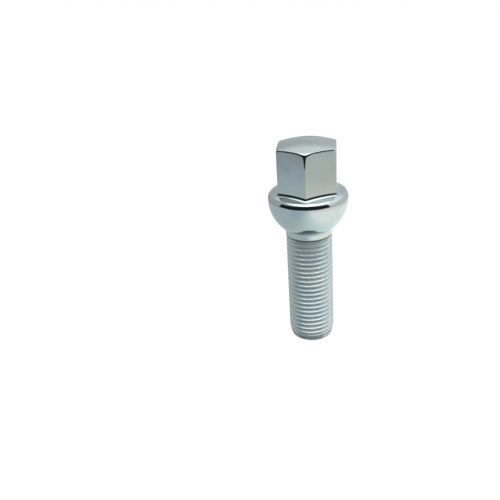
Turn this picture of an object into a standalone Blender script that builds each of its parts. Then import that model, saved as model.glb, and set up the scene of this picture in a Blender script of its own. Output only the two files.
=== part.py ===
"""Wheel bolt with a ball seat, forged and thread-rolled from one piece of steel.

The bolt stands on its threaded end. The origin is the centre of the tip face and
+Z runs up the axis to the domed hexagon head. All sizes are in metres.
"""

import math

import bmesh
import bpy
from mathutils import Matrix

# Thread and tip
THREAD_DIAMETER = 0.0140
THREAD_PITCH = 0.0015
SHANK_LENGTH = 0.0370
TIP_FACE_DIAMETER = 0.0108
TIP_ROUND = 0.0011
TIP_CHAMFER_ANGLE = math.radians(12)

# Plain neck between the thread and the ball seat
NECK_DIAMETER = 0.0142
NECK_LENGTH = 0.0016
NECK_FILLET = 0.0007
RUN_OUT_ANGLE = math.radians(45)

# Ball seat and the sloping top of its collar
BALL_RADIUS = 0.0120
RIM_LAND = 0.0011
RIM_ROUND = 0.0008
COLLAR_SLOPE = math.radians(12)

# Hexagon head
HEX_ACROSS_FLATS = 0.0170
HEX_CORNER_HEIGHT = 0.0137
HEX_EDGE_ROUND = 0.0005
DOME_RADIUS = 0.0400

# Proportions of a metric thread, as shares of its pitch
THREAD_DEPTH_SHARE = 0.6134
CREST_SHARE = 1 / 8
FLANK_ANGLE = math.radians(30)

# Finish
ZINC_COLOUR = (0.60, 0.63, 0.64, 1.0)
ZINC_ROUGHNESS = 0.22

# Fineness of the facets
TURN_STEPS = 36
ARC_STEPS = 4
BALL_STEPS = 7
EDGE_STEPS = 3
SHARP_EDGE_ANGLE = math.radians(28)
MERGE_DISTANCE = 0.000001

# Sizes that follow from the ones above
THREAD_RADIUS = THREAD_DIAMETER / 2
ROOT_RADIUS = THREAD_RADIUS - THREAD_DEPTH_SHARE * THREAD_PITCH
NECK_RADIUS = NECK_DIAMETER / 2
NECK_START = SHANK_LENGTH - NECK_LENGTH
BALL_CENTRE = SHANK_LENGTH + math.sqrt(BALL_RADIUS**2 - NECK_RADIUS**2)
HEX_APOTHEM = HEX_ACROSS_FLATS / 2
HEX_CORNER_RADIUS = HEX_APOTHEM / math.cos(math.radians(30))
RIM_RADIUS = BALL_RADIUS - RIM_ROUND * (1 - math.sin(COLLAR_SLOPE))
RIM_TOP = BALL_CENTRE + RIM_LAND + RIM_ROUND * math.cos(COLLAR_SLOPE)


def collar_height(radius):
    """Height of the collar's conical top at a distance from the axis."""
    return RIM_TOP + (RIM_RADIUS - radius) * math.tan(COLLAR_SLOPE)


HEX_FOOT = collar_height(HEX_CORNER_RADIUS)
HEX_TOP = HEX_FOOT + HEX_CORNER_HEIGHT
DOME_CENTRE = HEX_TOP - math.sqrt(DOME_RADIUS**2 - HEX_CORNER_RADIUS**2)


def arc(centre_radius, centre_height, radius, start, end, steps):
    """Profile points along an arc, from one angle to another, ends included."""
    points = []
    for step in range(steps + 1):
        angle = start + (end - start) * step / steps
        points.append((
            centre_radius + radius * math.cos(angle),
            centre_height + radius * math.sin(angle),
        ))
    return points


def add_object(name, mesh_builder):
    """Make an object from a bmesh, with its faces turned outwards."""
    bmesh.ops.recalc_face_normals(mesh_builder, faces=mesh_builder.faces)
    mesh = bpy.data.meshes.new(name)
    mesh_builder.to_mesh(mesh)
    mesh_builder.free()
    made = bpy.data.objects.new(name, mesh)
    bpy.context.scene.collection.objects.link(made)
    return made


def profile_edges(mesh_builder, profile):
    """Lay a profile of (radius, height) points in the plane of the X axis."""
    points = [mesh_builder.verts.new((radius, 0, height)) for radius, height in profile]
    for lower, upper in zip(points[:-1], points[1:]):
        mesh_builder.edges.new((lower, upper))
    return mesh_builder.verts[:] + mesh_builder.edges[:]


def turned(name, profile):
    """Spin a profile that starts and ends on the axis into a closed turned body."""
    body = bmesh.new()
    bmesh.ops.spin(
        body, geom=profile_edges(body, profile), axis=(0, 0, 1), cent=(0, 0, 0),
        angle=math.tau, steps=TURN_STEPS, use_merge=True,
    )
    bmesh.ops.remove_doubles(body, verts=body.verts, dist=MERGE_DISTANCE)
    return add_object(name, body)


def turn_half_step(made):
    """Turn a body by half a facet, so that its edges don't fall on its neighbour's."""
    made.data.transform(Matrix.Rotation(math.pi / TURN_STEPS, 4, "Z"))
    return made


def thread_profile(crest_height):
    """One pitch of the thread: root flat, flank, crest flat at the given height, flank."""
    half_crest = CREST_SHARE * THREAD_PITCH / 2
    flank_foot = half_crest + (THREAD_RADIUS - ROOT_RADIUS) * math.tan(FLANK_ANGLE)
    return [
        (ROOT_RADIUS, crest_height + flank_foot - THREAD_PITCH),
        (ROOT_RADIUS, crest_height - flank_foot),
        (THREAD_RADIUS, crest_height - half_crest),
        (THREAD_RADIUS, crest_height + half_crest),
        (ROOT_RADIUS, crest_height + flank_foot),
    ]


def threaded_bar():
    """A right-hand threaded bar that runs past both ends of the shank.

    The profile of one pitch is spun about the axis while it climbs by one pitch a turn,
    and each end is closed by a fan of faces about the axis.
    """
    turns = math.ceil(SHANK_LENGTH / THREAD_PITCH) + 3
    bar = bmesh.new()
    bmesh.ops.spin(
        bar, geom=profile_edges(bar, thread_profile(-1.5 * THREAD_PITCH)),
        axis=(0, 0, 1), cent=(0, 0, 0), dvec=(0, 0, THREAD_PITCH / TURN_STEPS),
        angle=math.tau * turns, steps=TURN_STEPS * turns,
    )
    bmesh.ops.remove_doubles(bar, verts=bar.verts, dist=MERGE_DISTANCE)
    open_edges = [edge for edge in bar.edges if edge.is_boundary]
    caps = bmesh.ops.holes_fill(bar, edges=open_edges, sides=0)["faces"]
    bmesh.ops.poke(bar, faces=caps)
    return turn_half_step(add_object("threaded_bar", bar))


def shank_envelope():
    """The outline that trims the threaded bar: flat tip, rounded edge, chamfer, straight side.

    Its side stands clear of the thread, and its top is where the neck starts.
    """
    tip_radius = TIP_FACE_DIAMETER / 2
    chamfer_start = arc(
        tip_radius, TIP_ROUND, TIP_ROUND, -math.pi / 2, -TIP_CHAMFER_ANGLE, ARC_STEPS
    )
    side = THREAD_RADIUS + THREAD_PITCH
    radius, height = chamfer_start[-1]
    chamfer_end = (side, height + (side - radius) / math.tan(TIP_CHAMFER_ANGLE))
    return turned(
        "shank_envelope",
        [(0, 0), *chamfer_start, chamfer_end, (side, NECK_START), (0, NECK_START)],
    )


def seat_profile():
    """Outline of the neck, ball seat and collar, from the thread's run-out up to the head."""
    run_out_start = NECK_START - (NECK_RADIUS - ROOT_RADIUS) / math.tan(RUN_OUT_ANGLE)
    fillet_radius = NECK_RADIUS + NECK_FILLET
    fillet_centre = BALL_CENTRE - math.sqrt((BALL_RADIUS + NECK_FILLET)**2 - fillet_radius**2)
    tangent = math.atan2(fillet_centre - BALL_CENTRE, fillet_radius)
    fillet = arc(fillet_radius, fillet_centre, NECK_FILLET, math.pi, math.pi + tangent, ARC_STEPS)
    ball = arc(0, BALL_CENTRE, BALL_RADIUS, tangent, 0, BALL_STEPS)
    rim_centre = BALL_CENTRE + RIM_LAND
    rim = arc(
        BALL_RADIUS - RIM_ROUND, rim_centre, RIM_ROUND, 0, math.pi / 2 - COLLAR_SLOPE, ARC_STEPS
    )
    inside_head = HEX_APOTHEM / 2
    return [
        (0, run_out_start), (ROOT_RADIUS, run_out_start), (NECK_RADIUS, NECK_START),
        *fillet, *ball[1:], *rim,
        (inside_head, collar_height(inside_head)), (0, collar_height(inside_head)),
    ]


def dome_blank():
    """A turned blank, wider than the hexagon, whose top is the head's shallow dome."""
    shares = (1.2, 0.75, 0.5, 0.25, 0)
    dome = []
    for share in shares:
        radius = share * HEX_CORNER_RADIUS
        dome.append((radius, DOME_CENTRE + math.sqrt(DOME_RADIUS**2 - radius**2)))
    base = SHANK_LENGTH
    return turn_half_step(turned("dome_blank", [(0, base), (dome[0][0], base), *dome]))


def hexagon_bar():
    """A hexagon bar with corners on the Y axis, from inside the collar to above the dome."""
    bar = bmesh.new()
    foot = BALL_CENTRE
    corners = []
    for corner in range(6):
        angle = math.radians(90 + 60 * corner)
        corners.append(bar.verts.new((
            HEX_CORNER_RADIUS * math.cos(angle), HEX_CORNER_RADIUS * math.sin(angle), foot
        )))
    sides = bmesh.ops.extrude_face_region(bar, geom=[bar.faces.new(corners)])["geom"]
    rise = Matrix.Translation((0, 0, DOME_CENTRE + DOME_RADIUS - foot + HEX_EDGE_ROUND))
    bmesh.ops.transform(
        bar, matrix=rise, verts=[part for part in sides if isinstance(part, bmesh.types.BMVert)]
    )
    return add_object("wheel_bolt", bar)


def combine(target, other, operation):
    """Add an exact Boolean with another object and keep that object as a wire guide."""
    boolean = target.modifiers.new(operation.lower(), "BOOLEAN")
    boolean.operation = operation
    boolean.solver = "EXACT"
    boolean.object = other
    other.display_type = "WIRE"
    other.hide_render = True


def round_edges(target):
    """Round the hexagon's long edges and the edge between its flats and the dome."""
    bevel = target.modifiers.new("edge_round", "BEVEL")
    bevel.width = HEX_EDGE_ROUND
    bevel.segments = EDGE_STEPS
    bevel.limit_method = "ANGLE"
    bevel.angle_limit = math.radians(50)


def apply_modifiers(target):
    """Bake the modifiers into the mesh, weld it, and drop the guides that they used."""
    guides = [modifier.object for modifier in target.modifiers if modifier.type == "BOOLEAN"]
    weld = target.modifiers.new("weld", "WELD")
    weld.merge_threshold = MERGE_DISTANCE
    depsgraph = bpy.context.evaluated_depsgraph_get()
    target.data = bpy.data.meshes.new_from_object(target.evaluated_get(depsgraph))
    target.modifiers.clear()
    for guide in guides:
        bpy.data.objects.remove(guide)


def shade(target):
    """Shade the round faces smooth and keep the real edges sharp."""
    target.data.shade_smooth()
    target.data.set_sharp_from_angle(angle=SHARP_EDGE_ANGLE)


def zinc_plated_steel():
    """Bright zinc plating over forged steel."""
    material = bpy.data.materials.new("zinc_plated_steel")
    material.use_nodes = True
    shader = material.node_tree.nodes["Principled BSDF"]
    shader.inputs["Base Color"].default_value = ZINC_COLOUR
    shader.inputs["Metallic"].default_value = 1.0
    shader.inputs["Roughness"].default_value = ZINC_ROUGHNESS
    return material


def build_shank():
    """The threaded shank, trimmed to its chamfered tip."""
    shank = threaded_bar()
    combine(shank, shank_envelope(), "INTERSECT")
    apply_modifiers(shank)
    return shank


def build_bolt():
    """The whole bolt as one solid: domed hexagon, ball seat with neck, threaded shank."""
    bolt = hexagon_bar()
    combine(bolt, dome_blank(), "INTERSECT")
    round_edges(bolt)
    combine(bolt, turned("ball_seat", seat_profile()), "UNION")
    combine(bolt, build_shank(), "UNION")
    apply_modifiers(bolt)
    shade(bolt)
    bolt.data.materials.clear()
    bolt.data.materials.append(zinc_plated_steel())
    return bolt


def main():
    """Clear the scene and build the bolt."""
    for old in list(bpy.data.objects):
        bpy.data.objects.remove(old)
    build_bolt()


main()
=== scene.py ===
"""A bright zinc-plated wheel bolt standing on its tip in a plain pale studio."""

import math

import bmesh
import bpy
import numpy as np
from mathutils import Matrix, Vector


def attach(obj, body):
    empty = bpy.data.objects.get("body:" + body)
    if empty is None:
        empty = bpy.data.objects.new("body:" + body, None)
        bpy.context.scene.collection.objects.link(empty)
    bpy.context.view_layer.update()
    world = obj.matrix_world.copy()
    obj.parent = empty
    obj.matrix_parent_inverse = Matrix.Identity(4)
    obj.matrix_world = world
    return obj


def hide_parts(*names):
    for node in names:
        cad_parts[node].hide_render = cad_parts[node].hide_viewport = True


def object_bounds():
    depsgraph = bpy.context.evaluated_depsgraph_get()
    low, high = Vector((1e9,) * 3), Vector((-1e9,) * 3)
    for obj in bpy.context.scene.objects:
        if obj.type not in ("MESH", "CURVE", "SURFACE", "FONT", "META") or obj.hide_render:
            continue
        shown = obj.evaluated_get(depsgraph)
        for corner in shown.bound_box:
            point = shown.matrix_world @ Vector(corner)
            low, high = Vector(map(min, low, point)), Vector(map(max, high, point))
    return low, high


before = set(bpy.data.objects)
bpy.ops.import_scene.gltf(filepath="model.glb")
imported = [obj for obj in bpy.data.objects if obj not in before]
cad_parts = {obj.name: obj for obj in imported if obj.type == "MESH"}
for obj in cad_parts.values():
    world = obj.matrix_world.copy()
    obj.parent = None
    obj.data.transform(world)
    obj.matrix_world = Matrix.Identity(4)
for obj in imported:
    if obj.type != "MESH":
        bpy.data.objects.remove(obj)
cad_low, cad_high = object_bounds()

MM = 0.001
DEGREE = math.pi / 180

# Sizes read from the frame: the ball is the widest part and the dome the highest
BALL_RADIUS = (cad_high.x - cad_low.x) / 2
BOLT_HEIGHT = cad_high.z - cad_low.z

# Thread and tip. A crest passes the angle 0 at the height CREST_PHASE
THREAD_RADIUS = 7.0 * MM
PITCH = 1.5 * MM
ROOT_ROUND = 0.1443 * PITCH
ROOT_RADIUS = THREAD_RADIUS - 0.6134 * PITCH
CREST_HALF = PITCH / 16
FLANK_ANGLE = 30 * DEGREE
CREST_PHASE = (1 / 2 - 1 / 72) * PITCH
TIP_FACE_RADIUS = 5.4 * MM
TIP_ROUND = 1.1 * MM
TIP_CHAMFER_ANGLE = 12 * DEGREE

# Neck and ball seat
SHANK_LENGTH = 37.0 * MM
NECK_RADIUS = 7.1 * MM
NECK_START = SHANK_LENGTH - 1.6 * MM
NECK_FILLET = 1.0 * MM
RUN_OUT_ANGLE = 45 * DEGREE
RUN_OUT_BLEND = 0.2 * MM
THREAD_BLEND = 0.08 * MM
TIP_BLEND = 0.06 * MM
BALL_CENTRE = SHANK_LENGTH + math.sqrt(BALL_RADIUS**2 - NECK_RADIUS**2)
RIM_LAND = 0.25 * MM
RIM_ROUND = 2.0 * MM
COLLAR_SLOPE = 12 * DEGREE
RIM_TURN = 50 * DEGREE
CROWN_ROUND = 0.5 * MM
CROWN_RADIUS = BALL_RADIUS - RIM_ROUND + (RIM_ROUND - CROWN_ROUND) * math.cos(RIM_TURN)
CROWN_HEIGHT = BALL_CENTRE + RIM_LAND + (RIM_ROUND - CROWN_ROUND) * math.sin(RIM_TURN)
RIM_RADIUS = CROWN_RADIUS + CROWN_ROUND * math.sin(COLLAR_SLOPE)
RIM_TOP = CROWN_HEIGHT + CROWN_ROUND * math.cos(COLLAR_SLOPE)

# Hexagon head, with corners on the Y axis
APOTHEM = 8.5 * MM
EDGE_ROUND = 0.3 * MM
EDGE_ROUND_AT_TOP = 1.1 * MM
EDGE_WIDENS_OVER = 3.6 * MM
TOP_ROUND = 0.12 * MM
TOP_ROUND_IN_FRONT = 0.8 * MM
FRONT_REACH = 20 * DEGREE
FOOT_ROUND = 0.9 * MM
DOME_RADIUS = 40.0 * MM
DOME_CENTRE = BOLT_HEIGHT - DOME_RADIUS

# The painted shade in the crease at the foot of the front flats: the sines of the angles, in
# front of the bolt, at which it is full and at which it ends
CREASE_SHADE_FULL = 0.5
CREASE_SHADE_END = 0.3

# Unevenness of the forging: its depth, the lengths over which it fades in up the ball and
# out from the axis, and its waves, each with a strength, waves a turn, climb and offset
SWELL_DEPTH = 0.02 * MM
SWELL_FADE_UP = 2.0 * MM
SWELL_FADE_OUT = 4.0 * MM
SWELL_WAVES = ((1.0, 2, 350, 0.6), (0.7, 3, -520, 2.1), (0.5, 5, 900, 4.0))

# The photograph's view: where the eye is, how it is turned, and its lens in image widths
VIEW_DISTANCE = 189.1 * MM
VIEW_HEIGHT = 118.2 * MM
VIEW_PITCH = 24.97 * DEGREE
VIEW_YAW = 5.58 * DEGREE
VIEW_ROLL = 4.07 * DEGREE
VIEW_FOCUS = 673.2 / 500
HEXAGON_TURN = 3.9 * DEGREE
SENSOR_WIDTH = 36.0

# Fineness of the mesh: the columns, how much wider each next gap is away from a corner of
# the hexagon, and the rows of each stretch. The threaded band has spare turns at its ends
COLUMNS = 216
COLUMN_GROWTH = 1.17
FACE_ROWS = 6
TIP_EDGE_ROWS = 6
SPARE_TURNS = 4
BAND_MARGIN = 0.3 * MM
NECK_ROWS = 4
FILLET_ROWS = 10
BALL_ROWS = 26
RIM_ROWS = 12
CROWN_ROWS = 5
COLLAR_ROWS = 8
FOOT_ROWS = 7
TOP_EDGE_ROWS = 8
DOME_ROWS = 16
WELD = 0.1e-6

# Rows on the thread's profile, in pitches from the crest, and on the hexagon's sides, as
# shares of their height
THREAD_ROWS = (-0.5, -0.44, -0.375, -0.2, -0.075, -0.045, 0, 0.045, 0.075, 0.2, 0.375, 0.44)
SIDE_ROWS = (0.012, *np.linspace(0.2, 0.6, 3), *np.linspace(0.66, 1, 10))

# The plating's film, as places on a ramp and their colours, the milky film in the grooves,
# and the painted shade in the crease and in the run-out ring
FILM = (
    (0.36, (0.50, 0.61, 0.66, 1)),
    (0.46, (0.56, 0.65, 0.67, 1)),
    (0.56, (0.58, 0.67, 0.64, 1)),
    (0.66, (0.62, 0.66, 0.67, 1)),
)
MILKY_FILM = (0.66, 0.74, 0.77, 1)
MILKINESS = 0.4
PAINTED_SHADE_COLOUR = (0.05, 0.07, 0.07, 1)
CREASE_SHADE_DARKNESS = 0.8
RUN_OUT_SHADE_DARKNESS = 0.85

# Share of the thread's depth over which the film turns milky, how much less metallic it is
# there, and the heights between which the painted shade ring of the run-out fades in and out
GROOVE_EDGE = (0.0, 0.2)
GROOVE_SCATTER = 0.2
RUN_OUT_SHADE_BOTTOM = (NECK_START - 0.65 * MM, NECK_START - 0.4 * MM)
RUN_OUT_TOP = (NECK_START - 0.1 * MM, NECK_START + 0.1 * MM)

# Roughness of the clean plating, and what smudges, the thread and its grooves add to it
PLATE_ROUGHNESS = 0.04
SMUDGE_ROUGHNESS = 0.06
THREAD_ROUGHNESS = 0.13
GROOVE_ROUGHNESS = 0.12

# Scales of the noises, in waves a metre, and the faint relief of the last two
DRIFT_SCALE = 150.0
SMUDGE_SCALE = 260.0
ROLLED_SCALE = 320.0
ROLLED_STRETCH = 30.0
PEEL_SCALE = 1400.0
RELIEF_HEIGHT = 0.1 * MM
RELIEF_STRENGTH = 0.03

# The pale floor as the metal mirrors it: a pool of light on the right, a left side that
# grows dimmer, and a dark ring of shade where the tip stands. Each edge is a pair of
# distances from the bolt, and each side a pair of places across it, over which a part fades
FLOOR_HALF = 4.0
FLOOR_DROP = 0.02 * MM
FLOOR_GLOW = 0.58
POOL_SIDE = (-0.03, 0.04)
POOL_EDGE = (0.085, 0.170)
POOL_GLOW = 0.48
POOL_LOSS = 0.9
DIM_EDGE = (0.130, 0.220)
DIM_LOSS = 0.19
SHADE_EDGE = (0.0065, 0.0120)
SHADE_GLOW = 0.05
TINT_SIDE = (-0.06, 0.12)
LEFT_TINT = (0.91, 1.0, 1.06, 1)
RIGHT_TINT = (1.03, 1.02, 0.94, 1)

# The floor as the eye sees it: how strong its glow is, the glow's share, and how pale the
# paint is that makes up the rest and takes the shadow
SEEN_GLOW = 1.03
SEEN_SHARE = 0.9
PAINT_LEVEL = 0.95

# The dark sheet on the camera's side, a painted dark reflection that only the metal sees: it
# lies on the floor and stands up behind the camera
SHEET_NEAR = 0.187
SHEET_STEP = 0.235
SHEET_FAR = 0.600
SHEET_HEIGHT = 0.430
SHEET_RISE = 0.280
SHEET_LIFT = 0.5 * MM
SHEET_NEAR_SIDES = (-150 * DEGREE, -48 * DEGREE)
SHEET_FAR_SIDES = (-175 * DEGREE, -30 * DEGREE)
SHEET_COLUMNS = 41
REFLECTED_DARK = (0.008, 0.016, 0.024, 1)

# The pale room as the metal mirrors it. Each pair says where a part of it fades in, along one
# axis of the unit sphere of directions
ROOM_GLOW = 0.5
ROOM_RIGHT = (-0.3, 0.55)
ROOM_RIGHT_GLOW = 0.25
ROOM_UPPER = (0.35, 0.60)
ROOM_UPPER_SIDE = (-0.75, -0.2)
ROOM_UPPER_GLOW = 0.35
CEILING = (0.78, 0.86)
CEILING_BACK = (0.0, 0.25)
CEILING_LOSS = 0.6

# The soft light overhead: its place, its width and depth, and how bright its face is
SOFT_LIGHT_PLACE = (0.0, -0.030, 0.5)
SOFT_LIGHT_SIZE = (0.64, 0.70)
SOFT_GLOW = 1.2


def ease(share):
    """Smooth step: 3 s squared minus 2 s cubed, level at both ends."""
    share = np.clip(share, 0, 1)
    return share * share * (3 - 2 * share)


def steps(count):
    """A column of even shares, from one step above nothing up to one."""
    return np.linspace(0, 1, count + 1)[1:, None]


def soft_min(first, second, width):
    """The smaller of two values, with a quarter of the width taken off where they meet."""
    near = np.clip(1 - np.abs(first - second) / width, 0, 1)
    return np.minimum(first, second) - near * near * width / 4


def soft_max(first, second, width):
    """The larger of two values, with a fillet where they meet."""
    return -soft_min(-first, -second, width)


def arc_points(centre_radius, centre_height, radius, start, end, count):
    """Radii and heights along an arc: centre plus radius times cosine and sine."""
    angle = np.linspace(start, end, count)
    return centre_radius + radius * np.cos(angle), centre_height + radius * np.sin(angle)


def even_columns():
    """Angles of the columns, evenly spaced all round from the corner at minus Y."""
    return -math.pi / 2 + math.tau * np.arange(COLUMNS) / COLUMNS


def corner_columns():
    """The same columns drawn together at the hexagon's corners.

    From a corner to the middle of a flat each gap is a fixed share wider than the last,
    and the other half of the flat mirrors it.
    """
    half = COLUMNS // 12
    gaps = COLUMN_GROWTH ** np.arange(half)
    offsets = np.concatenate([[0], np.cumsum(gaps)]) / gaps.sum() * 30 * DEGREE
    sector = np.concatenate([offsets, 60 * DEGREE - offsets[-2:0:-1]])
    corners = -math.pi / 2 + 60 * DEGREE * np.arange(6)
    return (corners[:, None] + sector[None, :]).ravel()


def thread_radius(angle, height):
    """Radius of the right-hand thread.

    The distance along the axis from the nearest crest is the height less one pitch a turn.
    The crest is flat, the flanks fall in straight lines, and the root is an arc tangent
    to both flanks.
    """
    from_crest = height - CREST_PHASE - PITCH * angle / math.tau
    away = np.abs((from_crest + PITCH / 2) % PITCH - PITCH / 2)
    flank = THREAD_RADIUS - (away - CREST_HALF) / math.tan(FLANK_ANGLE)
    to_root = PITCH / 2 - away
    root = ROOT_RADIUS + ROOT_ROUND - np.sqrt(np.maximum(ROOT_ROUND**2 - to_root**2, 0))
    in_root = to_root < ROOT_ROUND * math.cos(FLANK_ANGLE)
    return np.where(in_root, root, np.minimum(THREAD_RADIUS, flank))


def tip_radius(height):
    """Radius of the tip's outline: an arc up from the face, then the chamfer's straight line."""
    down = np.clip(TIP_ROUND - height, 0, TIP_ROUND)
    rounded = TIP_FACE_RADIUS + np.sqrt(np.maximum(TIP_ROUND**2 - down**2, 0))
    start_height = TIP_ROUND * (1 - math.sin(TIP_CHAMFER_ANGLE))
    start_radius = TIP_FACE_RADIUS + TIP_ROUND * math.cos(TIP_CHAMFER_ANGLE)
    chamfer = start_radius + (height - start_height) * math.tan(TIP_CHAMFER_ANGLE)
    return np.where(height < start_height, rounded, chamfer)


def shank_radius(angle, height):
    """The thread, filled by the run-out cone under the neck and trimmed by tip and neck."""
    run_out = NECK_RADIUS - (NECK_START - height) * math.tan(RUN_OUT_ANGLE)
    neck = soft_min(run_out, np.full_like(height, NECK_RADIUS), RUN_OUT_BLEND)
    body = soft_max(thread_radius(angle, height), neck, THREAD_BLEND)
    return soft_min(body, tip_radius(height), TIP_BLEND)


def hexagon_outline(angle, apothem, rounding):
    """Polar radius of a hexagon with rounded corners, and its normal's turn from the radius.

    Along a flat the radius is the apothem over the cosine of the angle from the flat's
    middle. Round a corner it is where the ray leaves the corner's circle.
    """
    from_corner = (angle + math.pi / 2 + 30 * DEGREE) % (60 * DEGREE) - 30 * DEGREE
    centre = (apothem - rounding) / math.cos(30 * DEGREE)
    flat = apothem / np.cos(30 * DEGREE - np.abs(from_corner))
    across = centre * np.sin(from_corner)
    inside = np.maximum(rounding**2 - across**2, 0)
    corner = centre * np.cos(from_corner) + np.sqrt(inside)
    flat_reach = np.arctan((apothem - rounding) * math.tan(30 * DEGREE) / apothem)
    on_corner = 30 * DEGREE - np.abs(from_corner) > flat_reach
    radius = np.where(on_corner, corner, flat)
    ratio = np.clip(radius * np.sin(from_corner) / rounding, -1, 1)
    normal = np.where(on_corner, np.arcsin(ratio), np.sign(from_corner) * 30 * DEGREE)
    return radius, normal - from_corner


def collar_height(radius):
    """Height of the collar's conical top, a straight slope up from the rim to the middle."""
    return RIM_TOP + (RIM_RADIUS - radius) * math.tan(COLLAR_SLOPE)


def dome_height(radius):
    """Height of the dome, a sphere: its centre plus the root of R squared less r squared."""
    return DOME_CENTRE + np.sqrt(DOME_RADIUS**2 - radius**2)


def edge_rounding(height, top):
    """Rounding of the hexagon's long edges, which widens by a square law below the top."""
    share = np.clip(1 - (top - height) / EDGE_WIDENS_OVER, 0, 1)
    return EDGE_ROUND + (EDGE_ROUND_AT_TOP - EDGE_ROUND) * share**2


def top_rounding(angle):
    """Rounding of the edge under the dome, which is worn more towards the front corner.

    Within reach of that corner it grows with the square of a smooth step of the angle.
    """
    from_front = np.abs((angle - math.pi / 2) % math.tau - math.pi)
    return TOP_ROUND + (TOP_ROUND_IN_FRONT - TOP_ROUND) * ease(1 - from_front / FRONT_REACH) ** 2


def rings(radii, heights, angles):
    """Rows of a turned surface: each radius and height is carried round all the columns."""
    wide = np.ones_like(angles)
    return angles * np.ones((len(radii), 1)), radii[:, None] * wide, heights[:, None] * wide


def tip_rows(top_height):
    """The flat tip face from its middle outwards, then its rounded edge up to a height.

    The edge's rows climb by a square law, so they lie closest near the face.
    """
    radii = np.linspace(0, TIP_FACE_RADIUS, FACE_ROWS)
    face = rings(radii, np.zeros(FACE_ROWS), even_columns())
    heights = steps(TIP_EDGE_ROWS) ** 2 * top_height * np.ones_like(face[0][:1])
    angles = even_columns() * np.ones((len(heights), 1))
    edge = angles, shank_radius(angles, heights), heights
    return tuple(np.concatenate(parts) for parts in zip(face, edge))


def thread_rows(low, high):
    """The threaded band, whose rows climb with the helix.

    Each row keeps one place on the thread's profile and rises by one pitch a turn. Heights
    are held between the two ends, so the first and the last turn run out into plain rings.
    """
    turns = math.ceil((high - low) / PITCH) + SPARE_TURNS
    start = math.floor(low / PITCH) - 1
    places = (start + np.arange(turns)[:, None] + np.array(THREAD_ROWS)).ravel() * PITCH
    angles = even_columns()[None, :] * np.ones((len(places), 1))
    heights = np.clip(places[:, None] + CREST_PHASE + PITCH * angles / math.tau, low, high)
    return (angles, shank_radius(angles, heights), heights), len(THREAD_ROWS)


def seat_rows(low):
    """Neck, fillet, ball and rim as turned rings. The rim turns in a long arc, then a tight one.

    The columns move from even spacing to the hexagon's spacing on the way up the ball.
    """
    fillet_radius = NECK_RADIUS + NECK_FILLET
    fillet_centre = BALL_CENTRE - math.sqrt((BALL_RADIUS + NECK_FILLET)**2 - fillet_radius**2)
    tangent = math.atan2(fillet_centre - BALL_CENTRE, fillet_radius)
    neck_heights = np.linspace(low, fillet_centre, NECK_ROWS + 1)[:-1]
    neck = np.full(NECK_ROWS, NECK_RADIUS), neck_heights
    fillet = arc_points(
        fillet_radius, fillet_centre, NECK_FILLET, math.pi, math.pi + tangent, FILLET_ROWS
    )
    ball = arc_points(0, BALL_CENTRE, BALL_RADIUS, tangent, 0, BALL_ROWS)
    rim = arc_points(
        BALL_RADIUS - RIM_ROUND, BALL_CENTRE + RIM_LAND, RIM_ROUND, 0, RIM_TURN, RIM_ROWS
    )
    crown = arc_points(
        CROWN_RADIUS, CROWN_HEIGHT, CROWN_ROUND, RIM_TURN, math.pi / 2 - COLLAR_SLOPE, CROWN_ROWS
    )
    radii = np.concatenate([neck[0], fillet[0], ball[0][1:], rim[0], crown[0][1:]])
    heights = np.concatenate([neck[1], fillet[1], ball[1][1:], rim[1], crown[1][1:]])
    share = ease((heights - SHANK_LENGTH) / (BALL_CENTRE - SHANK_LENGTH))[:, None]
    angles = (1 - share) * even_columns() + share * corner_columns()
    return angles, *rings(radii, heights, even_columns())[1:]


def collar_rows(angles, outer_radius):
    """The cone from the rim in to the foot of the hexagon's fillet."""
    radii = RIM_RADIUS + (outer_radius - RIM_RADIUS) * steps(COLLAR_ROWS)
    return angles * np.ones_like(radii), radii, collar_height(radii)


def foot_rows(angles):
    """The hollow fillet between the collar's cone and the hexagon's upright sides.

    Seen across the edge it is an arc tangent to the upright side and to the slope, and
    each of its points lies on a hexagon that is offset outwards.
    """
    wall, turn = hexagon_outline(angles, APOTHEM, EDGE_ROUND)
    slope = np.arctan(math.tan(COLLAR_SLOPE) * np.cos(turn))
    centre = collar_height(wall) + FOOT_ROUND * (1 / np.cos(slope) - np.tan(slope))
    share = np.linspace(1, 0, FOOT_ROWS)[:, None]
    sweep = share * (90 * DEGREE - slope)
    out = FOOT_ROUND * (1 - np.cos(sweep))
    radii = hexagon_outline(angles, APOTHEM + out, EDGE_ROUND + out)[0]
    heights = centre - FOOT_ROUND * np.sin(sweep)
    return angles * np.ones_like(radii), radii, heights


def top_edge(angles):
    """Where the rounded top edge starts on the hexagon's sides, and the arc that it sweeps.

    The arc is tangent to the upright side and to the dome, so it sweeps a right angle less
    the dome's slope across the edge.
    """
    outer, turn = hexagon_outline(angles, APOTHEM, EDGE_ROUND_AT_TOP)
    slope = np.arctan(outer / DOME_RADIUS * np.cos(turn))
    rounding = top_rounding(angles)
    inset = rounding * (1 - np.sin(slope))
    inner = hexagon_outline(angles, APOTHEM - inset, EDGE_ROUND_AT_TOP - inset)[0]
    return dome_height(inner) - rounding * np.cos(slope), 90 * DEGREE - slope


def side_rows(angles, foot, top):
    """The hexagon's upright sides, from the foot fillet up to the rounded top edge."""
    heights = foot + (top - foot) * np.array(SIDE_ROWS)[:, None]
    radii = hexagon_outline(angles, APOTHEM, edge_rounding(heights, top))[0]
    return angles * np.ones_like(radii), radii, heights


def top_edge_rows(angles, start, sweep):
    """The rounded edge between the sides and the dome, on hexagons that are offset inwards."""
    turned = steps(TOP_EDGE_ROWS) * sweep
    rounding = top_rounding(angles)
    inset = rounding * (1 - np.cos(turned))
    radii = hexagon_outline(angles, APOTHEM - inset, EDGE_ROUND_AT_TOP - inset)[0]
    return angles * np.ones_like(radii), radii, start + rounding * np.sin(turned)


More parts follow.
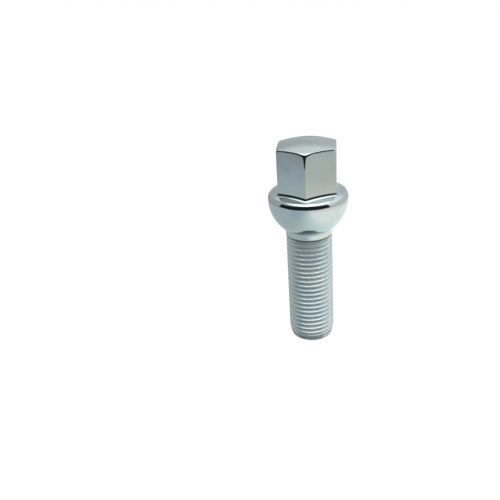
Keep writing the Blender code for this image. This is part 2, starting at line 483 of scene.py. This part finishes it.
def dome_rows(angles, edge_radius):
    """The dome, as copies of the hexagon's outline that shrink to its middle."""
    radii = edge_radius * (1 - steps(DOME_ROWS))
    return angles * np.ones_like(radii), radii, dome_height(radii)


def head_rows():
    """Collar top, foot fillet, sides, rounded top edge and dome, all on the corner columns."""
    angles = corner_columns()[None, :]
    foot = foot_rows(angles)
    start, sweep = top_edge(angles)
    edge = top_edge_rows(angles, start, sweep)
    return [
        collar_rows(angles, foot[1][:1]),
        tuple(rows[1:] for rows in foot),
        side_rows(angles, foot[2][-1:], start),
        edge,
        dome_rows(angles, edge[1][-1:]),
    ]


def painted_foot_shade(angles):
    """How dark the painted shade in the foot fillet's crease is, from nothing at the collar to
    full at the side.

    It is a smooth step over the middle half of the fillet, times one that fades out past
    the two front flats.
    """
    in_front = (-np.sin(angles) - CREASE_SHADE_END) / (CREASE_SHADE_FULL - CREASE_SHADE_END)
    return ease(2 * steps(len(angles)) - 0.5) * ease(in_front)


def forging_swell(angles, radii, heights):
    """Slight unevenness of the forging: a few hundredths of a millimetre in slow waves.

    Each wave is a sine of the angle and the height, and they are averaged by strength. The
    swell fades out at the shank and the axis, and only ever takes metal away.
    """
    wave = sum(
        strength * np.sin(waves * angles + climb * heights + offset)
        for strength, waves, climb, offset in SWELL_WAVES
    ) / sum(strength for strength, *_ in SWELL_WAVES)
    on_head = ease((heights - SHANK_LENGTH) / SWELL_FADE_UP) * ease(radii / SWELL_FADE_OUT)
    return radii - SWELL_DEPTH * (1 + wave) * on_head


def grid_faces(rows, first, seam_step):
    """Quads between neighbouring rows and columns, closed round the seam.

    At the seam a helical band meets itself a number of rows further up.
    """
    row = np.arange(rows - 1)[:, None]
    column = np.arange(COLUMNS)[None, :]
    wraps = column == COLUMNS - 1
    next_column = np.where(wraps, 0, column + 1)
    lower = np.minimum(row + np.where(wraps, seam_step, 0), rows - 1)
    upper = np.minimum(row + 1 + np.where(wraps, seam_step, 0), rows - 1)
    quads = np.stack([
        row * COLUMNS + column,
        lower * COLUMNS + next_column,
        upper * COLUMNS + next_column,
        (row + 1) * COLUMNS + column,
    ], axis=-1)
    return quads.reshape(-1, 4) + first


def bolt_surface():
    """Points, faces and marks of the whole bolt, from the tip up to the dome.

    The marks are the depth in the thread, from 0 at the crest to 1 at the root, and how dark
    the painted shade in the crease at the hexagon's foot is. The lowest part of the tip counts
    as no thread.
    """
    band_low, band_high = BAND_MARGIN, NECK_START + BAND_MARGIN
    band, rows_per_turn = thread_rows(band_low, band_high)
    seat, (collar, foot, *head) = seat_rows(band_high), head_rows()
    upper = tuple(np.concatenate(parts) for parts in zip(seat, collar, foot, *head))
    points, faces, depths, painted_crease_shades, first = [], [], [], [], 0
    for section, seam_step in ((tip_rows(band_low), 0), (band, rows_per_turn), (upper, 0)):
        angles, radii, heights = section
        smooth = forging_swell(angles, radii, heights)
        points.append(np.stack(
            [smooth * np.cos(angles), smooth * np.sin(angles), heights], axis=-1
        ).reshape(-1, 3))
        threaded = (heights > TIP_ROUND / 2) & (heights < band_high)
        depth = np.clip((THREAD_RADIUS - radii) / (THREAD_RADIUS - ROOT_RADIUS), 0, 1)
        depths.append(np.where(threaded, depth, 0).ravel())
        painted_crease_shades.append(np.zeros_like(radii))
        faces.append(grid_faces(len(radii), first, seam_step))
        first += radii.size
    below = len(seat[1]) + len(collar[1])
    # Painted shade in the foot fillet's crease, darkest on the two front flats
    painted_crease_shades[-1][below:below + len(foot[1])] = painted_foot_shade(foot[0])
    marks = {
        "thread_depth": np.concatenate(depths),
        "crease": np.concatenate([crease.ravel() for crease in painted_crease_shades]),
    }
    return np.concatenate(points), np.concatenate(faces), marks


def closed_mesh(name, points, faces, marks):
    """A mesh from points and quads, with its marks, welded where rows or columns meet."""
    mesh = bpy.data.meshes.new(name)
    mesh.from_pydata(points.tolist(), [], faces.tolist())
    for mark, values in marks.items():
        attribute = mesh.attributes.new(mark, "FLOAT", "POINT")
        attribute.data.foreach_set("value", values.astype(np.float32))
    welded = bmesh.new()
    welded.from_mesh(mesh)
    bmesh.ops.remove_doubles(welded, verts=welded.verts, dist=WELD)
    bmesh.ops.dissolve_degenerate(welded, edges=welded.edges, dist=WELD)
    welded.to_mesh(mesh)
    welded.free()
    mesh.shade_smooth()
    return mesh


def add_piece(name, mesh):
    """Put a mesh in the scene as an object at the origin."""
    piece = bpy.data.objects.new(name, mesh)
    bpy.context.scene.collection.objects.link(piece)
    return piece


class Socket:
    """One output of a shader node. Arithmetic on it adds Math nodes."""

    def __init__(self, nodes, output):
        self.nodes = nodes
        self.output = output

    def math(self, operation, *values):
        """A Math node on numbers and sockets."""
        return self.nodes.add("ShaderNodeMath", {"operation": operation}, dict(enumerate(values)))

    def __add__(self, other):
        return self.math("ADD", self, other)

    __radd__ = __add__

    def __sub__(self, other):
        return self.math("SUBTRACT", self, other)

    def __rsub__(self, other):
        return self.math("SUBTRACT", other, self)

    def __mul__(self, other):
        return self.math("MULTIPLY", self, other)

    __rmul__ = __mul__

    def __pow__(self, other):
        return self.math("POWER", self, other)

    def rises(self, low, high):
        """Smooth step from 0 where the value is low to 1 where it is high."""
        settings = {"interpolation_type": "SMOOTHSTEP"}
        return self.nodes.add("ShaderNodeMapRange", settings, {0: self, 1: low, 2: high})


class Nodes:
    """The shader nodes of a material or a world, cleared for new ones."""

    def __init__(self, owner):
        owner.use_nodes = True
        self.tree = owner.node_tree
        self.tree.nodes.clear()

    def add(self, kind, settings=None, inputs=None, output=0):
        """Add a node: its settings first, then its inputs as values or links."""
        made = self.tree.nodes.new(kind)
        for name, value in (settings or {}).items():
            if name == "stops":
                set_stops(made.color_ramp, value)
            else:
                setattr(made, name, value)
        for name, value in (inputs or {}).items():
            if isinstance(value, Socket):
                self.tree.links.new(value.output, made.inputs[name])
            else:
                made.inputs[name].default_value = value
        return Socket(self, made.outputs[output]) if made.outputs else made

    def mix(self, factor, first, second):
        """A colour between two others."""
        return self.add(
            "ShaderNodeMix", {"data_type": "RGBA"}, {0: factor, 6: first, 7: second}, output=2
        )

    def parts(self, vector):
        """The three numbers of a vector."""
        return [self.add("ShaderNodeSeparateXYZ", None, {0: vector}, output=n) for n in range(3)]


def set_stops(ramp, stops):
    """Give a colour ramp its stops, each a place and a colour."""
    while len(ramp.elements) < len(stops):
        ramp.elements.new(1.0)
    for element, (place, colour) in zip(ramp.elements, stops):
        element.position = place
        element.color = colour


def grey(level):
    """A neutral colour."""
    return level, level, level, 1


def zinc_plate():
    """Bright zinc plating over forged steel.

    The colour drifts between blue, grey and a green as the passivated film varies. Painted
    shade darkens it in the crease at the hexagon's foot and in the ring where the thread runs
    out, and fine lines run round the shank where it was rolled. In the thread's grooves the
    film is rougher and a little milky, so that it scatters some of the light.
    """
    material = bpy.data.materials.new("zinc_plate")
    nodes = Nodes(material)
    place = nodes.add("ShaderNodeTexCoord", output="Object")
    drift = nodes.add(
        "ShaderNodeTexNoise", None, {"Vector": place, "Scale": DRIFT_SCALE, "Detail": 3.0}
    )
    film = nodes.add("ShaderNodeValToRGB", {"stops": FILM}, {"Fac": drift})
    depth = nodes.add("ShaderNodeAttribute", {"attribute_name": "thread_depth"}, output="Fac")
    groove = depth.rises(*GROOVE_EDGE)
    height = nodes.parts(place)[2]
    on_thread = 1 - height.rises(*RUN_OUT_TOP)
    # The ring where the thread runs out is painted shade
    run_out = height.rises(*RUN_OUT_SHADE_BOTTOM) * on_thread
    crease = nodes.add("ShaderNodeAttribute", {"attribute_name": "crease"}, output="Fac")
    milky = nodes.mix(groove * MILKINESS, film, MILKY_FILM)
    # Painted shade in the foot's crease and in the run-out ring, mixed into the colour
    dark = crease * CREASE_SHADE_DARKNESS + run_out * RUN_OUT_SHADE_DARKNESS
    colour = nodes.mix(dark, milky, PAINTED_SHADE_COLOUR)

    smudge = nodes.add(
        "ShaderNodeTexNoise", None,
        {"Vector": place, "Scale": SMUDGE_SCALE, "Detail": 4.0, "Roughness": 0.6},
    )
    roughness = (
        PLATE_ROUGHNESS + smudge * SMUDGE_ROUGHNESS
        + groove * GROOVE_ROUGHNESS + on_thread * THREAD_ROUGHNESS
    )

    stretched = nodes.add(
        "ShaderNodeMapping", None, {"Vector": place, "Scale": (1.0, 1.0, ROLLED_STRETCH)}
    )
    rolled = nodes.add(
        "ShaderNodeTexNoise", None, {"Vector": stretched, "Scale": ROLLED_SCALE, "Detail": 3.0}
    )
    peel = nodes.add(
        "ShaderNodeTexNoise", None, {"Vector": place, "Scale": PEEL_SCALE, "Detail": 2.0}
    )
    bump = nodes.add("ShaderNodeBump", None, {
        "Strength": RELIEF_STRENGTH, "Distance": RELIEF_HEIGHT,
        "Height": peel * 0.5 + rolled * 0.5,
    })
    shader = nodes.add("ShaderNodeBsdfPrincipled", None, {
        "Base Color": colour, "Metallic": 1 - groove * GROOVE_SCATTER,
        "Roughness": roughness, "Normal": bump,
    })
    nodes.add("ShaderNodeOutputMaterial", None, {"Surface": shader})
    return material


def build_bolt():
    """The bolt's fine mesh, which stands for the plain solid."""
    bolt = add_piece("bolt", closed_mesh("bolt", *bolt_surface()))
    bolt.data.materials.append(zinc_plate())
    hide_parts("wheel_bolt")
    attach(bolt, "root")


def floor_finish():
    """Pale floor: white to the eye, a pool of light to the metal, and shaded by the bolt."""
    material = bpy.data.materials.new("pale_floor")
    nodes = Nodes(material)
    seen = nodes.add("ShaderNodeLightPath", output="Is Camera Ray")
    glossy = nodes.add("ShaderNodeLightPath", output="Is Glossy Ray")
    x, y, _ = nodes.parts(nodes.add("ShaderNodeTexCoord", output="Object"))
    distance = (x * x + y * y) ** 0.5
    right = x.rises(*POOL_SIDE)
    dim = DIM_LOSS * (1 - right) * distance.rises(*DIM_EDGE)
    pool = POOL_GLOW * right * (1 - POOL_LOSS * distance.rises(*POOL_EDGE))
    lit = SHADE_GLOW + (1 - SHADE_GLOW) * distance.rises(*SHADE_EDGE)
    tint = nodes.mix(x.rises(*TINT_SIDE), LEFT_TINT, RIGHT_TINT)
    colour = nodes.mix(seen, tint, grey(1))
    strength = seen * SEEN_GLOW + glossy * (FLOOR_GLOW - dim + pool) * lit
    glow = nodes.add("ShaderNodeEmission", None, {"Color": colour, "Strength": strength})
    paint = nodes.add("ShaderNodeBsdfDiffuse", None, {"Color": grey(PAINT_LEVEL)})
    share = seen * SEEN_SHARE + glossy
    shader = nodes.add("ShaderNodeMixShader", None, {0: share, 1: paint, 2: glow})
    nodes.add("ShaderNodeOutputMaterial", None, {"Surface": shader})
    return material


def build_floor():
    """A wide flat floor just under the tip."""
    corners = np.array([(-1, -1), (1, -1), (1, 1), (-1, 1)]) * FLOOR_HALF
    points = np.column_stack([corners, np.full(4, -FLOOR_DROP)])
    mesh = bpy.data.meshes.new("floor")
    mesh.from_pydata(points.tolist(), [], [(0, 1, 2, 3)])
    mesh.materials.append(floor_finish())
    floor = add_piece("floor", mesh)


def build_dark_reflection_sheet():
    """A dark sheet on the camera's side, seen only in the metal's reflections: a painted dark
    reflection that the camera misses.

    It is a surface in polar coordinates about the bolt: it runs out along the floor, steps
    out to a wider angle on both sides, and stands straight up at its far end.
    """
    radius = np.array([SHEET_NEAR, SHEET_STEP, SHEET_STEP, SHEET_FAR, SHEET_FAR])[:, None]
    sides = np.array([SHEET_NEAR_SIDES] * 2 + [SHEET_FAR_SIDES] * 3)
    share = np.linspace(0, 1, SHEET_COLUMNS)
    angle = sides[:, :1] + (sides[:, 1:] - sides[:, :1]) * share
    stands = np.array([0, 0, 0, 0, 1])[:, None]
    height = SHEET_LIFT + stands * (SHEET_HEIGHT + SHEET_RISE * np.sin(angle) ** 2)
    turned = angle + HEXAGON_TURN
    points = np.stack([radius * np.cos(turned), radius * np.sin(turned), height], axis=-1)
    corner = np.arange(len(radius) - 1)[:, None] * SHEET_COLUMNS + np.arange(SHEET_COLUMNS - 1)
    faces = np.stack(
        [corner, corner + 1, corner + 1 + SHEET_COLUMNS, corner + SHEET_COLUMNS], axis=-1
    )
    mesh = bpy.data.meshes.new("dark_reflection_sheet")
    mesh.from_pydata(points.reshape(-1, 3).tolist(), [], faces.reshape(-1, 4).tolist())
    material = bpy.data.materials.new("dark_reflection_sheet")
    nodes = Nodes(material)
    # Near-black glow that only reflections see: a painted dark reflection
    shader = nodes.add("ShaderNodeEmission", None, {"Color": REFLECTED_DARK, "Strength": 1.0})
    nodes.add("ShaderNodeOutputMaterial", None, {"Surface": shader})
    mesh.materials.append(material)
    reflection_sheet = add_piece("dark_reflection_sheet", mesh)
    reflection_sheet.visible_camera = False
    reflection_sheet.visible_diffuse = False
    reflection_sheet.visible_shadow = False
    reflection_sheet.visible_transmission = False


def build_surround():
    """White to the eye. To the metal it is a pale room, brighter on the right and higher up.

    Its ceiling is dimmer behind the bolt.
    """
    world = bpy.data.worlds.new("studio")
    bpy.context.scene.world = world
    nodes = Nodes(world)
    x, y, z = nodes.parts(nodes.add("ShaderNodeTexCoord", output="Generated"))
    right = x.rises(*ROOM_RIGHT)
    upper = z.rises(*ROOM_UPPER) * x.rises(*ROOM_UPPER_SIDE)
    ceiling = z.rises(*CEILING) * y.rises(*CEILING_BACK)
    walls = ROOM_GLOW + ROOM_RIGHT_GLOW * right + ROOM_UPPER_GLOW * upper
    room = walls * (1 - CEILING_LOSS * ceiling)
    seen = nodes.add("ShaderNodeLightPath", output="Is Camera Ray")
    glow = nodes.add(
        "ShaderNodeBackground", None, {"Color": grey(1), "Strength": seen + (1 - seen) * room}
    )
    nodes.add("ShaderNodeOutputWorld", None, {"Surface": glow})


def add_soft_light():
    """An oval soft light above the bolt. Its power is its glow times pi times its area."""
    light = bpy.data.lights.new("soft_light", "AREA")
    light.shape = "ELLIPSE"
    light.size, light.size_y = SOFT_LIGHT_SIZE
    light.energy = SOFT_GLOW * math.pi * math.pi / 4 * light.size * light.size_y
    lamp = bpy.data.objects.new("soft_light", light)
    lamp.location = SOFT_LIGHT_PLACE
    bpy.context.scene.collection.objects.link(lamp)


def build_camera():
    """The camera at the photograph's viewpoint.

    The photograph shows the hexagon's front corner a little to the left, so the eye moves
    round the bolt by that angle instead.
    """
    data = bpy.data.cameras.new("camera")
    data.sensor_width = SENSOR_WIDTH
    data.lens = VIEW_FOCUS * SENSOR_WIDTH
    data.clip_start = 1 * MM
    turn = (
        Matrix.Rotation(HEXAGON_TURN + VIEW_YAW, 4, "Z")
        @ Matrix.Rotation(90 * DEGREE - VIEW_PITCH, 4, "X")
        @ Matrix.Rotation(-VIEW_ROLL, 4, "Z")
    )
    eye = Matrix.Rotation(HEXAGON_TURN, 4, "Z") @ Vector((0, -VIEW_DISTANCE, VIEW_HEIGHT))
    camera = bpy.data.objects.new("camera", data)
    camera.matrix_world = Matrix.Translation(eye) @ turn
    bpy.context.scene.collection.objects.link(camera)
    bpy.context.scene.camera = camera


def build_studio():
    """Floor, dark reflection sheet, surround and the light overhead."""
    build_floor()
    build_dark_reflection_sheet()
    build_surround()
    add_soft_light()
    bpy.context.scene.view_settings.view_transform = "Standard"


build_bolt()
build_camera()
build_studio()
